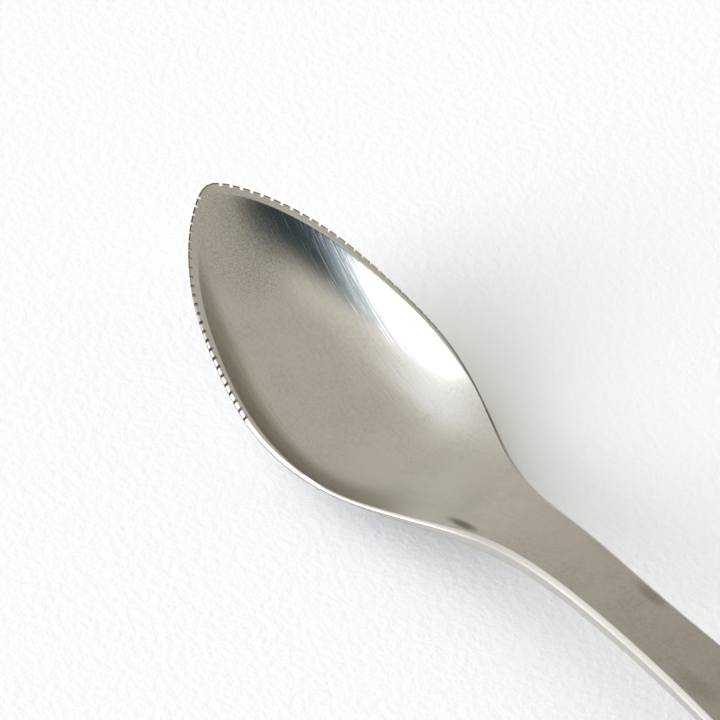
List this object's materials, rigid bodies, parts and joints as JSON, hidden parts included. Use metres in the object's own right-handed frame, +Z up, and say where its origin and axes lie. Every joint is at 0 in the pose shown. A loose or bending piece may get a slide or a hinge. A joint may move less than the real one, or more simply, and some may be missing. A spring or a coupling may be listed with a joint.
{
  "type": "grapefruit spoon",
  "caption": "Leaf-shaped spoon pressed from one piece of satin steel, with fine square teeth on both sides of its tip and a flat arched handle.",
  "frame": {"origin": "centre of the spoon's footprint, at the height of the table it lies on", "axes": "+X from the tip of the bowl to the end of the handle, +Y across, +Z up, with the bowl's hollow upwards"},
  "size_m": [0.165, 0.026, 0.0154],
  "materials": {
    "satin_steel": "satin brushed"
  },
  "bodies": {
    "root": {"spoon": "satin_steel"}
  },
  "joints": []
}
